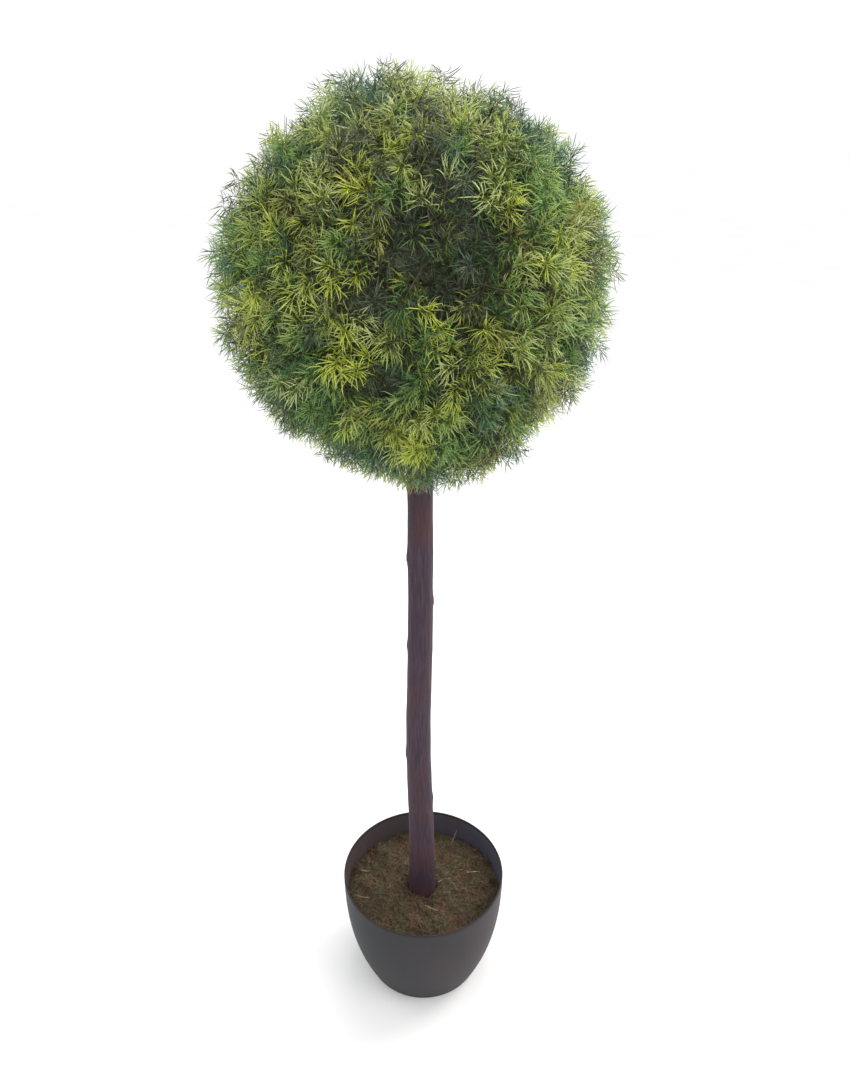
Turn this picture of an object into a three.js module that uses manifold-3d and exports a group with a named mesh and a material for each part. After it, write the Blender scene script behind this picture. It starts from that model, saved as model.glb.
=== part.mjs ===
// Lollipop topiary: an artificial tree with one clipped ball of needle sprigs on a straight wooden stem.
// The stem stands in the filling of a round, tapered plastic pot, and the filling is topped with moss.
// Millimetres, +Z up. The origin is the middle of the pot's flat underside.
import * as THREE from "three";
import { mergeVertices } from "three/addons/utils/BufferGeometryUtils.js";
import Module from "manifold-3d";

const CLEARANCE = 0.3; // between pieces that rest on or stand in each other
const TURN = 2 * Math.PI;
const GOLDEN_ANGLE = Math.PI * (3 - Math.sqrt(5));

const POT = {
  height: 168,
  rimRadius: 114.8,
  baseRadius: 83.4,
  bulge: 2.45, // 1 is a straight cone, and more swells the wall out near the foot
  wall: 2.6,
  floor: 3,
  footRound: 3,
  sides: 48, // the filling has as many, so its flats lie along the pot's
  steps: 8,
};

const FILLING = {
  edgeDepth: 41, // from the rim down to the moss at the wall
  trunkDepth: 35, // from the rim down to the moss at the trunk
  lump: 2.2, // height of the moss's waves
  rings: 6,
  steps: 6,
};

const TRUNK = {
  foot: 40, // height of the flat cut inside the filling
  tip: 925, // height of the flat cut inside the ball
  mossRadius: 18.2,
  tipRadius: 13.8,
  flare: 1.5,
  flareHeight: 22,
  footShift: -1.5, // sideways, off the pot's axis
  tipShift: -3.8,
  crookHeight: 405, // where the stem bows furthest to the side
  crookShift: -4,
  crookReach: 120,
  oval: 0.025,
  // Old branch scars: the height of each, and its degrees round the stem from the right-hand side.
  scars: [
    [215, 150], [305, 8], [383, 178], [462, 95], [555, 172], [620, 4], [680, 186], [760, 60],
  ],
  scarHeight: 1,
  scarLength: 10,
  scarWidth: 0.5, // radians round the stem
  sides: 14,
  ringSpacing: 15,
};

const CROWN = {
  height: 991, // of its centre
  shift: -8, // sideways, off the pot's axis
  radius: 205, // to the needle tips, before the lumps
  fringe: 20, // depth of the needles outside the core
  lumps: 36,
  lumpHeight: 8.5,
  lumpWidth: 0.04, // in cosine of the angle from its middle
  seed: 115784,
  coreDetail: 6,
};

// Each sprig is a burst of needles round a small hub, on a stalk that is sunk in the core.
const SPRIG = {
  count: 160,
  scatter: 0.07, // radians off its place in the spiral, at most
  hubRadius: 3.2,
  hubHeight: 4, // above the core
  stalk: 12,
  needle: 24,
  uneven: 0.22, // how much of its length a needle may lack
  stray: 0.16, // how far it may lean off its own way
};

const MOSS_LEVEL = POT.height - FILLING.trunkDepth;
const CROWN_CENTRE = new THREE.Vector3(CROWN.shift, 0, CROWN.height);

// --- Helpers -------------------------------------------------------------------------------------

const wasm = await Module();
wasm.setup();

function solidFrom(geometry) {
  const bare = geometry.clone();
  bare.deleteAttribute("normal");
  bare.deleteAttribute("uv");
  const merged = mergeVertices(bare, 1e-3);
  return new wasm.Manifold(
    new wasm.Mesh({
      numProp: 3,
      vertProperties: merged.attributes.position.array,
      triVerts: new Uint32Array(merged.index.array),
    }),
  );
}

function geometryFrom(solid) {
  const mesh = solid.getMesh();
  return new THREE.BufferGeometry()
    .setAttribute("position", new THREE.BufferAttribute(mesh.vertProperties, 3))
    .setIndex(new THREE.BufferAttribute(mesh.triVerts, 1));
}

// A repeatable source of numbers from 0 to 1.
function seeded(seed) {
  let state = seed;
  return () => {
    state = (state * 1664525 + 1013904223) % 4294967296;
    return state / 4294967296;
  };
}

const lerp = THREE.MathUtils.lerp;

function moveVertices(geometry, place) {
  const position = geometry.attributes.position;
  const point = new THREE.Vector3();
  for (let i = 0; i < position.count; i++) {
    point.fromBufferAttribute(position, i);
    place(point);
    position.setXYZ(i, point.x, point.y, point.z);
  }
  return geometry;
}

// --- Pot -----------------------------------------------------------------------------------------

function potOuterRadius(z) {
  const share = Math.min(z / POT.height, 1);
  return lerp(POT.baseRadius, POT.rimRadius, 1 - (1 - share) ** POT.bulge);
}

const potInnerRadius = (z) => potOuterRadius(z) - POT.wall;

function arcPoints(middleR, middleZ, radius, from, to, steps) {
  return Array.from({ length: steps + 1 }, (_, i) => {
    const angle = lerp(from, to, i / steps);
    return new THREE.Vector2(middleR + radius * Math.cos(angle), middleZ + radius * Math.sin(angle));
  });
}

function wallPoints(radiusAt, fromZ, toZ, steps) {
  return Array.from({ length: steps + 1 }, (_, i) => {
    const z = lerp(fromZ, toZ, i / steps);
    return new THREE.Vector2(radiusAt(z), z);
  });
}

function latheUpright(profile, sides) {
  return new THREE.LatheGeometry(profile, sides).rotateX(Math.PI / 2);
}

function potGeometry() {
  const lip = POT.wall / 2;
  const lipZ = POT.height - lip;
  const round = POT.footRound;
  const profile = [
    new THREE.Vector2(0, 0),
    ...arcPoints(potOuterRadius(round) - round, round, round, -Math.PI / 2, 0, 2),
    ...wallPoints(potOuterRadius, round, lipZ, POT.steps).slice(1),
    ...arcPoints(POT.rimRadius - lip, lipZ, lip, 0, Math.PI, 4).slice(1, -1),
    ...wallPoints(potInnerRadius, lipZ, POT.floor, POT.steps),
    new THREE.Vector2(0, POT.floor),
  ];
  return latheUpright(profile, POT.sides);
}

// --- Trunk ---------------------------------------------------------------------------------------

// The stem's middle line, sideways off the pot's axis: a slight lean with one crook in it.
function trunkMiddle(z) {
  const lean = lerp(TRUNK.footShift, TRUNK.tipShift, (z - TRUNK.foot) / (TRUNK.tip - TRUNK.foot));
  const crook = Math.exp(-(((z - TRUNK.crookHeight) / TRUNK.crookReach) ** 2));
  return lean + TRUNK.crookShift * crook;
}

function trunkMeanRadius(z) {
  const above = Math.max(0, z - MOSS_LEVEL);
  const taper = lerp(TRUNK.mossRadius, TRUNK.tipRadius, above / (TRUNK.tip - MOSS_LEVEL));
  return taper + TRUNK.flare * Math.exp(-above / TRUNK.flareHeight);
}

// Old branch scars stand here and there up the stem, as low swellings.
function scarSwelling(angle, z) {
  return TRUNK.scars.reduce((swelling, [scarZ, degrees]) => {
    const apart = angle - THREE.MathUtils.degToRad(degrees);
    const round = Math.atan2(Math.sin(apart), Math.cos(apart));
    const falloff = (round / TRUNK.scarWidth) ** 2 + ((z - scarZ) / TRUNK.scarLength) ** 2;
    return swelling + TRUNK.scarHeight * Math.exp(-falloff);
  }, 0);
}

function trunkRadius(angle, z) {
  const oval = 1 + TRUNK.oval * Math.cos(2 * angle + z / 150);
  return trunkMeanRadius(z) * oval + scarSwelling(angle, z);
}

// The stem, grown by a margin where it is used to cut its own socket.
function trunkGeometry(margin = 0) {
  const length = TRUNK.tip - TRUNK.foot;
  const rings = Math.round(length / TRUNK.ringSpacing);
  const tube = new THREE.CylinderGeometry(1, 1, 1, TRUNK.sides, rings).rotateX(Math.PI / 2);
  return moveVertices(tube, (p) => {
    const z = TRUNK.foot + (p.z + 0.5) * length;
    const angle = Math.atan2(p.y, p.x);
    const share = Math.hypot(p.x, p.y);
    const radius = share * (trunkRadius(angle, z) + margin);
    const end = Math.abs(p.z) > 0.4999 ? Math.sign(p.z) * margin : 0;
    p.set(trunkMiddle(z) + radius * Math.cos(angle), radius * Math.sin(angle), z + end);
  });
}

// --- Filling -------------------------------------------------------------------------------------

function mossHeight(x, y) {
  const share = Math.min(1, Math.hypot(x, y) / potInnerRadius(POT.height - FILLING.edgeDepth));
  const mound = lerp(FILLING.trunkDepth, FILLING.edgeDepth, share ** 2);
  const waves = Math.sin(x / 13 + 0.6) * Math.cos(y / 11) + 0.6 * Math.sin((x + y) / 7);
  return POT.height - mound + FILLING.lump * waves * (1 - share ** 4);
}

function fillingGeometry() {
  const bottom = POT.floor + CLEARANCE;
  const edge = POT.height - FILLING.edgeDepth;
  const radiusAt = (z) => potInnerRadius(z) - CLEARANCE;
  const top = Array.from({ length: FILLING.rings + 1 }, (_, i) => {
    return new THREE.Vector2(radiusAt(edge) * (1 - i / FILLING.rings), edge);
  });
  const profile = [
    new THREE.Vector2(0, bottom),
    ...wallPoints(radiusAt, bottom, edge, FILLING.steps),
    ...top.slice(1),
  ];
  return moveVertices(latheUpright(profile, POT.sides), (p) => {
    if (p.z > edge - 0.01) p.z = mossHeight(p.x, p.y);
  });
}

// --- Crown ---------------------------------------------------------------------------------------

function directionAt(up, azimuth) {
  const flat = Math.sqrt(1 - up * up);
  return new THREE.Vector3(flat * Math.cos(azimuth), flat * Math.sin(azimuth), up);
}

// Low swells and hollows, at seeded places all round the ball.
function crownLumps() {
  const random = seeded(CROWN.seed);
  return Array.from({ length: CROWN.lumps }, () => {
    const middle = directionAt(2 * random() - 1, TURN * random());
    return { middle, height: CROWN.lumpHeight * (2 * random() - 1) };
  });
}

const lumps = crownLumps();

// How far the needles reach from the ball's centre, in a direction.
function crownReach(direction) {
  return lumps.reduce((reach, lump) => {
    return reach + lump.height * Math.exp((direction.dot(lump.middle) - 1) / CROWN.lumpWidth);
  }, CROWN.radius);
}

const fromCentre = (direction, distance) => CROWN_CENTRE.clone().addScaledVector(direction, distance);

// True where a stretch keeps clear of the stem, which ends inside the ball.
function clearOfTrunk(from, to) {
  return [0, 0.5, 1].every((t) => {
    const point = from.clone().lerp(to, t);
    const away = Math.hypot(point.x - trunkMiddle(point.z), point.y);
    return point.z > TRUNK.tip || away > trunkMeanRadius(point.z) + TRUNK.scarHeight + SPRIG.hubRadius;
  });
}

function facesOf(geometry) {
  const position = geometry.attributes.position;
  const corner = (i) => new THREE.Vector3().fromBufferAttribute(position, i);
  return Array.from({ length: position.count / 3 }, (_, i) => [3 * i, 3 * i + 1, 3 * i + 2].map(corner));
}

const HUB_FACES = facesOf(new THREE.IcosahedronGeometry(1));
const middleOf = (face) => new THREE.Vector3().add(face[0]).add(face[1]).add(face[2]).normalize();

// A sprig is an icosahedron that looks outwards with one face. Its outer faces are drawn out into needles,
// and its inner corners into a stalk.
function sprig(out, random) {
  const hub = fromCentre(out, crownReach(out) - CROWN.fringe + SPRIG.hubHeight);
  const turn = new THREE.Quaternion()
    .setFromAxisAngle(out, TURN * random())
    .multiply(new THREE.Quaternion().setFromUnitVectors(middleOf(HUB_FACES[0]), out));
  const place = (corner) => {
    const away = corner.clone().applyQuaternion(turn);
    const stalk = away.dot(out) < -0.5 ? SPRIG.stalk : 0;
    return hub.clone().addScaledVector(away, SPRIG.hubRadius).addScaledVector(out, -stalk);
  };
  const needleTip = (way) => {
    const room = (CROWN.fringe - SPRIG.hubHeight) / way.dot(out);
    const length = Math.min(SPRIG.needle, room) * (1 - SPRIG.uneven * random());
    return hub.clone().addScaledVector(way, length);
  };
  const faces = HUB_FACES.flatMap((face) => {
    const [a, b, c] = face.map(place);
    const stray = directionAt(2 * random() - 1, TURN * random()).multiplyScalar(SPRIG.stray);
    const way = middleOf(face).applyQuaternion(turn).add(stray).normalize();
    const tip = needleTip(way);
    if (way.dot(out) < 0.15 || !clearOfTrunk(hub, tip)) return [a, b, c];
    return [a, b, tip, b, c, tip, c, a, tip];
  });
  return new THREE.BufferGeometry().setFromPoints(faces);
}

// The sprigs stand on the core in a scattered golden-angle spiral, but not where the stem comes in.
function sprigs() {
  const random = seeded(CROWN.seed);
  return Array.from({ length: SPRIG.count }, (_, i) => {
    const scatter = directionAt(2 * random() - 1, TURN * random()).multiplyScalar(SPRIG.scatter);
    const out = directionAt(1 - (2 * i + 1) / SPRIG.count, i * GOLDEN_ANGLE).add(scatter).normalize();
    const foot = fromCentre(out, crownReach(out) - CROWN.fringe);
    return clearOfTrunk(foot, foot) ? [solidFrom(sprig(out, random))] : [];
  }).flat();
}

// The dense inside of the ball, as a lumpy sphere.
function coreGeometry() {
  return moveVertices(new THREE.IcosahedronGeometry(1, CROWN.coreDetail), (p) => {
    p.copy(fromCentre(p, crownReach(p) - CROWN.fringe));
  });
}

// Crossing needles can seal a hollow between them, which is filled by keeping the outer skin alone.
function outerSkin(solid) {
  return solid.decompose().reduce((most, shell) => (shell.volume() > most.volume() ? shell : most));
}

function crownGeometry() {
  const grown = wasm.Manifold.union([solidFrom(coreGeometry()), ...sprigs()]);
  return geometryFrom(outerSkin(grown.subtract(solidFrom(trunkGeometry(CLEARANCE)))));
}

// --- The part ------------------------------------------------------------------------------------

function finish(color, roughness) {
  return new THREE.MeshStandardMaterial({ color, roughness, metalness: 0 });
}

function named(name, geometry, material) {
  const mesh = new THREE.Mesh(geometry, material);
  mesh.name = name;
  return mesh;
}

const filling = solidFrom(fillingGeometry()).subtract(solidFrom(trunkGeometry(CLEARANCE)));

const topiary = new THREE.Group();
topiary.add(
  named("pot", potGeometry(), finish("#4e4b4d", 0.55)),
  named("moss_filling", geometryFrom(filling), finish("#4d4035", 0.95)),
  named("trunk", trunkGeometry(), finish("#4e4448", 0.8)),
  named("foliage_ball", crownGeometry(), finish("#646d4a", 0.7)),
);

export default topiary;
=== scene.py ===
# %% [markdown]
# # A lollipop topiary in its pot
# This lesson dresses an artificial topiary: a clipped ball of moulded needles on a stained wooden stem,
# which stands in a thin plastic pot with dried moss over its filling. The construction, with its real
# sizes, is loaded first and never moved. Each later cell makes one piece or one finish around it.

import math

import bpy
import numpy as np
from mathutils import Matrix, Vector, noise


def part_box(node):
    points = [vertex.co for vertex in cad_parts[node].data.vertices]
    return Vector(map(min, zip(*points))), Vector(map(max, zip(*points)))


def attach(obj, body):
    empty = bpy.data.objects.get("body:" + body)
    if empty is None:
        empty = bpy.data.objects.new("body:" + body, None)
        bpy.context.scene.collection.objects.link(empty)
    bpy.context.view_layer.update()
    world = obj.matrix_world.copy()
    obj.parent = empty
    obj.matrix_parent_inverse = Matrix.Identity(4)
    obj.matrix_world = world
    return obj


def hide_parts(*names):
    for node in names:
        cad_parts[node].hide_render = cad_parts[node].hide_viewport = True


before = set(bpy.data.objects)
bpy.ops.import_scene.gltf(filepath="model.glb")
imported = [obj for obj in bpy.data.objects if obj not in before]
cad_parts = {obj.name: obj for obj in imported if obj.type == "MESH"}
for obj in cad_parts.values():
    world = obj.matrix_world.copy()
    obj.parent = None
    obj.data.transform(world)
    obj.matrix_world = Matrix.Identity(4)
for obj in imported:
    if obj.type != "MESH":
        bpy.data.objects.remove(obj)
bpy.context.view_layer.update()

# %% [markdown]
# ## Working in millimetres
# Plants and pots are measured in millimetres, and Blender works in metres. All shapes below are worked
# out in millimetres and turned to metres once, where a mesh is made.

# %% Units and small helpers
MM = 0.001
TURN = 2 * math.pi
GOLDEN_ANGLE = math.pi * (3 - math.sqrt(5))


def lerp(low, high, share):
    return low + (high - low) * share


def unit(vectors):
    return vectors / np.linalg.norm(vectors, axis=-1, keepdims=True)


def box_mm(node):
    low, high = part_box(node)
    return np.array(low) / MM, np.array(high) / MM


pot_low, pot_high = box_mm("pot")
trunk_low, trunk_high = box_mm("trunk")
print("pot", np.round(pot_high - pot_low), "trunk", np.round(trunk_high - trunk_low))

# %% [markdown]
# ## Meshes from arrays
# A ball of tens of thousands of needles can't be made object by object. Here every shape ends up as two
# arrays, its points and its triangles, and one function turns them into a mesh in a single step. That is
# far quicker than adding vertices one by one, and it keeps each kind of part in one joined piece.

# %% One function that makes every mesh
def make_piece(name, points, triangles, materials, slots=None):
    """Makes one mesh object of points in millimetres, which rides with the plant."""
    mesh = bpy.data.meshes.new(name)
    mesh.vertices.add(len(points))
    mesh.vertices.foreach_set("co", (np.asarray(points) * MM).astype(np.float32).ravel())
    mesh.loops.add(3 * len(triangles))
    mesh.loops.foreach_set("vertex_index", np.asarray(triangles, dtype=np.int32).ravel())
    mesh.polygons.add(len(triangles))
    mesh.polygons.foreach_set("loop_start", np.arange(0, 3 * len(triangles), 3, dtype=np.int32))
    for material in materials:
        mesh.materials.append(material)
    if slots is not None:
        mesh.polygons.foreach_set("material_index", np.asarray(slots, dtype=np.int32))
    mesh.polygons.foreach_set("use_smooth", np.ones(len(triangles), dtype=bool))
    mesh.update(calc_edges=True)
    piece = bpy.data.objects.new(name, mesh)
    bpy.context.scene.collection.objects.link(piece)
    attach(piece, "root")
    print(name, len(triangles), "triangles")
    return piece


# %% [markdown]
# ## Skinning a stack of rings
# A pot, a stem and a mound of moss are all a stack of rings with as many points in each. Joining every
# ring to the next one and closing both ends gives a watertight solid, which is what a printer or a game
# engine wants too. The rings run so that the faces look outwards.

# %% A closed skin over rings
def skin(rings):
    """Points and triangles of a closed solid over rings of shape (rings, points in a ring, 3)."""
    count, around = rings.shape[:2]
    start = len(rings.reshape(-1, 3))
    points = np.concatenate([rings.reshape(-1, 3), [rings[0].mean(axis=0), rings[-1].mean(axis=0)]])
    here = np.arange(around)
    beside = (here + 1) % around
    lower = (np.arange(count - 1) * around)[:, None]
    a, b = lower + here, lower + beside
    sides = np.concatenate([
        np.stack([a, b, b + around], axis=-1).reshape(-1, 3),
        np.stack([a, b + around, a + around], axis=-1).reshape(-1, 3),
    ])
    last = (count - 1) * around
    bottom = np.stack([np.full(around, start), beside, here], axis=-1)
    top = np.stack([np.full(around, start + 1), last + here, last + beside], axis=-1)
    return points, np.concatenate([sides, bottom, top])


def revolve(profile, around):
    """Rings that turn a profile of (radius, height) pairs about the pot's axis."""
    angle = np.arange(around) * TURN / around
    radius, height = np.asarray(profile, dtype=float).T
    return np.stack([
        radius[:, None] * np.cos(angle),
        radius[:, None] * np.sin(angle),
        height[:, None] * np.ones(around),
    ], axis=-1)


# %% [markdown]
# ## Colour
# Colours are picked as sRGB hex values, as in a paint program, and the renderer works in linear light.
# One function does that change, so that every value below can be compared with a colour chip.

# %% From a hex value to linear light
def linear(hex_value):
    channels = [int(hex_value[i:i + 2], 16) / 255 for i in (1, 3, 5)]
    return tuple(c / 12.92 if c <= 0.04045 else ((c + 0.055) / 1.055) ** 2.4 for c in channels) + (1.0,)


# %% [markdown]
# ## Building materials from nodes
# A node has settings, such as a blend type, and inputs, which are either a value or a link from another
# node. One small function handles both, and a colour ramp's stops too, so each material below reads as a
# short list of what feeds what.

# %% One function that adds a node
def add_node(tree, kind, inputs=None, stops=None, **settings):
    node = tree.nodes.new(kind)
    for name, value in settings.items():
        setattr(node, name, value)
    for name, value in (inputs or {}).items():
        if isinstance(value, bpy.types.NodeSocket):
            tree.links.new(value, node.inputs[name])
        else:
            node.inputs[name].default_value = value
    for i, (position, colour) in enumerate(stops or []):
        elements = node.color_ramp.elements
        element = elements[i] if i < len(elements) else elements.new(position)
        element.position = position
        element.color = colour
    return node


def new_material(name):
    material = bpy.data.materials.new(name)
    material.use_nodes = True
    material.node_tree.nodes.clear()
    return material, material.node_tree


def grey(value):
    return (value, value, value, 1.0)


# %% [markdown]
# ## Moulded polypropylene for the pot
# Thin nursery pots are injection moulded from recycled polypropylene, which is coloured right through.
# The mix is never quite even, so the dark grey is mottled in clouds about 70 mm wide. Each finish also
# turns lighter from left to right, which is painted light from the right, and the outside one browner too.
# The mould leaves a fine, dull grain. It is drawn 1.6 mm across, a little coarser than life, and shows as
# faint specks, in the gloss and as bump. The thin lip is a darker purple brown. The inner wall is painted
# lighter than the outside, as painted light, and has smaller clouds, so the same recipe is used twice with
# other colours.

# %% Pot plastic
GRAIN_SIZE = 1.6
LIP_BAND = (4.0, 1.5)  # below the rim, from where the lip's colour starts to where it is full


def pot_plastic(name, shaded_left_hex, lit_right_hex, cloud_size):
    material, tree = new_material(name)
    place = add_node(tree, "ShaderNodeTexCoord").outputs["Object"]
    axis = add_node(tree, "ShaderNodeSeparateXYZ", {"Vector": place}).outputs
    cloud = add_node(tree, "ShaderNodeTexNoise", {
        "Vector": place, "Scale": 1 / (cloud_size * MM), "Detail": 3.0,
    })
    # Painted light: the colour turns lighter from left to right across the pot, as if lit from the right.
    across = add_node(tree, "ShaderNodeMapRange", {
        "Value": axis["X"], "From Min": -pot_high[0] * MM, "From Max": pot_high[0] * MM,
    })
    mottle_and_painted_light = add_node(tree, "ShaderNodeMath", {0: cloud.outputs["Fac"], 1: across.outputs["Result"]},
                      operation="ADD")
    body = add_node(tree, "ShaderNodeMapRange", {
        "Value": mottle_and_painted_light.outputs["Value"], "From Min": 0.55, "From Max": 1.4,
    })
    tint = add_node(tree, "ShaderNodeMix", {
        "Factor": body.outputs["Result"], "A": linear(shaded_left_hex), "B": linear(lit_right_hex),
    }, data_type="RGBA")
    grain = add_node(tree, "ShaderNodeTexNoise", {
        "Vector": place, "Scale": 1 / (GRAIN_SIZE * MM), "Detail": 3.0,
    })
    speck = add_node(tree, "ShaderNodeValToRGB", {"Fac": grain.outputs["Fac"]},
                     stops=[(0.34, grey(0.76)), (0.66, grey(1.0))])
    mottled = add_node(tree, "ShaderNodeMix", {
        "Factor": 1.0, "A": tint.outputs["Result"], "B": speck.outputs["Color"],
    }, data_type="RGBA", blend_type="MULTIPLY")
    lip = add_node(tree, "ShaderNodeMapRange", {
        "Value": axis["Z"], "From Min": (pot_high[2] - LIP_BAND[0]) * MM,
        "From Max": (pot_high[2] - LIP_BAND[1]) * MM,
    })
    colour = add_node(tree, "ShaderNodeMix", {
        "Factor": lip.outputs["Result"], "A": mottled.outputs["Result"], "B": linear("#2b2326"),
    }, data_type="RGBA")
    gloss = add_node(tree, "ShaderNodeMapRange", {
        "Value": grain.outputs["Fac"], "To Min": 0.52, "To Max": 0.70,
    })
    bump = add_node(tree, "ShaderNodeBump", {
        "Height": grain.outputs["Fac"], "Strength": 0.3, "Distance": 0.3 * MM,
    })
    shader = add_node(tree, "ShaderNodeBsdfPrincipled", {
        "Base Color": colour.outputs["Result"], "Roughness": gloss.outputs["Result"],
        "Normal": bump.outputs["Normal"], "IOR": 1.49, "Specular IOR Level": 0.3,
    })
    add_node(tree, "ShaderNodeOutputMaterial", {"Surface": shader.outputs["BSDF"]})
    return material


POT_FINISHES = [
    pot_plastic("moulded polypropylene, dark grey", "#292c2f", "#383135", cloud_size=70),
    # The inside finish is lighter than the outside one: painted light on the inner wall.
    pot_plastic("moulded polypropylene, painted light inside", "#524746", "#535361", cloud_size=28),
]

# %% [markdown]
# ## The pot
# The wall is a thin shell that swells out quickly above the foot and runs nearly upright to the rim. It
# could be modelled with a spun spline, but the wall follows one formula, so its profile is worked out
# directly: out over the flat foot, up the outside, round the lip and down the inside.

# %% Pot shape
POT_HEIGHT = pot_high[2]
RIM_RADIUS = pot_high[0]
BASE_RADIUS = 83.4
POT_BULGE = 2.45
POT_WALL = 2.6
POT_FLOOR = 3.0
POT_FOOT_ROUND = 3.0
POT_AROUND = 192
CENTRE_RING = 0.5  # radius of the ring that each end is closed over
FOOT_POINTS = 7
WALL_POINTS = 40
LIP_POINTS = 11


def pot_outer_radius(z):
    share = np.minimum(np.asarray(z, dtype=float) / POT_HEIGHT, 1.0)
    return lerp(BASE_RADIUS, RIM_RADIUS, 1 - (1 - share) ** POT_BULGE)


def pot_profile():
    lip = POT_WALL / 2
    lip_z = POT_HEIGHT - lip
    foot = pot_outer_radius(POT_FOOT_ROUND) - POT_FOOT_ROUND
    turn_out = np.linspace(-math.pi / 2, 0, FOOT_POINTS)
    turn_over = np.linspace(0, math.pi, LIP_POINTS)
    up = np.linspace(POT_FOOT_ROUND, lip_z, WALL_POINTS)[1:-1]
    down = up[::-1]
    return np.concatenate([
        [(CENTRE_RING, 0)],
        np.stack([foot + POT_FOOT_ROUND * np.cos(turn_out),
                  POT_FOOT_ROUND * (1 + np.sin(turn_out))], axis=-1),
        np.stack([pot_outer_radius(up), up], axis=-1),
        np.stack([RIM_RADIUS - lip + lip * np.cos(turn_over), lip_z + lip * np.sin(turn_over)], axis=-1),
        np.stack([pot_outer_radius(down) - POT_WALL, down], axis=-1),
        [(CENTRE_RING, POT_FLOOR)],
    ])


points, triangles = skin(revolve(pot_profile(), POT_AROUND))
inward = (np.cross(*(points[triangles[:, k]] - points[triangles[:, 0]] for k in (1, 2)))
          * points[triangles[:, 0]]).sum(axis=1) < 0
# The inner wall's faces get the lighter second finish, which is painted light.
inside = inward & (points[triangles].mean(axis=1)[:, 2] > POT_FLOOR / 2)
pot = make_piece("pot_shell", points, triangles, POT_FINISHES, inside.astype(int))
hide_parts("pot")

# %% [markdown]
# ## Stained wood for the stem
# The stem is a straight branch with its bark rubbed down and a dark stain brushed over it. The stain is
# violet brown and leaves faint streaks along the fibres, which are drawn 1.6 mm wide and 30 mm long, and
# fine pores twice as wide. In patches about 60 mm wide it has worn to a redder brown, more so near the
# ball and the foot. The surface is dull, with only the high streaks a little smoother.

# %% Stem finish
WOOD_FIBRE = 1.6
WOOD_STRETCH = 0.055  # how slowly the streaks change along the stem
PORE_SIZE = 3.5
WORN_PATCH = 60.0


def stained_wood():
    material, tree = new_material("branch wood, dark stain")
    place = add_node(tree, "ShaderNodeTexCoord").outputs["Object"]
    along = add_node(tree, "ShaderNodeMapping", {"Vector": place, "Scale": (1.0, 1.0, WOOD_STRETCH)})
    fibre = add_node(tree, "ShaderNodeTexNoise", {
        "Vector": along.outputs["Vector"], "Scale": 1 / (WOOD_FIBRE * MM), "Detail": 4.0, "Roughness": 0.6,
    })
    stain = add_node(tree, "ShaderNodeValToRGB", {"Fac": fibre.outputs["Fac"]},
                     stops=[(0.30, linear("#30252e")), (0.50, linear("#3c2f3a")), (0.72, linear("#493a48"))])
    patch = add_node(tree, "ShaderNodeTexNoise", {
        "Vector": place, "Scale": 1 / (WORN_PATCH * MM), "Detail": 3.0,
    })
    height = add_node(tree, "ShaderNodeSeparateXYZ", {"Vector": place}).outputs["Z"]
    rubbed = add_node(tree, "ShaderNodeValToRGB", {"Fac": height},
                      stops=[(0.15, grey(0.05)), (0.20, grey(0.0)), (0.66, grey(0.0)), (0.78, grey(0.12))])
    wear = add_node(tree, "ShaderNodeMath", {0: patch.outputs["Fac"], 1: rubbed.outputs["Color"]},
                    operation="ADD")
    worn = add_node(tree, "ShaderNodeValToRGB", {"Fac": wear.outputs["Value"]},
                    stops=[(0.48, grey(0.0)), (0.72, grey(0.8))])
    redder = add_node(tree, "ShaderNodeMix", {
        "Factor": worn.outputs["Color"], "A": stain.outputs["Color"], "B": linear("#4a302f"),
    }, data_type="RGBA")
    pore = add_node(tree, "ShaderNodeTexVoronoi", {
        "Vector": along.outputs["Vector"], "Scale": 1 / (PORE_SIZE * MM),
    })
    pit = add_node(tree, "ShaderNodeValToRGB", {"Fac": pore.outputs["Distance"]},
                   stops=[(0.02, grey(0.55)), (0.16, grey(1.0))])
    colour = add_node(tree, "ShaderNodeMix", {
        "Factor": 1.0, "A": redder.outputs["Result"], "B": pit.outputs["Color"],
    }, data_type="RGBA", blend_type="MULTIPLY")
    rough = add_node(tree, "ShaderNodeMapRange", {
        "Value": fibre.outputs["Fac"], "To Min": 0.88, "To Max": 0.64,
    })
    bump = add_node(tree, "ShaderNodeBump", {
        "Height": fibre.outputs["Fac"], "Strength": 0.5, "Distance": 0.4 * MM,
    })
    shader = add_node(tree, "ShaderNodeBsdfPrincipled", {
        "Base Color": colour.outputs["Result"], "Roughness": rough.outputs["Result"],
        "Normal": bump.outputs["Normal"], "IOR": 1.5, "Specular IOR Level": 0.3,
    })
    add_node(tree, "ShaderNodeOutputMaterial", {"Surface": shader.outputs["BSDF"]})
    return material


# %% [markdown]
# ## The stem
# It tapers from a slightly flared foot to its cut inside the ball, leans a little and has one crook. Old
# side shoots left small scars here and there. The construction has the taper, the lean and the scars as
# low swellings. Here the same rule is written again on a fine mesh, and the relief that the eye looks for
# is laid over it: shallow furrows along the wood, and on each scar the low, dished stub of the cut shoot.

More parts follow.
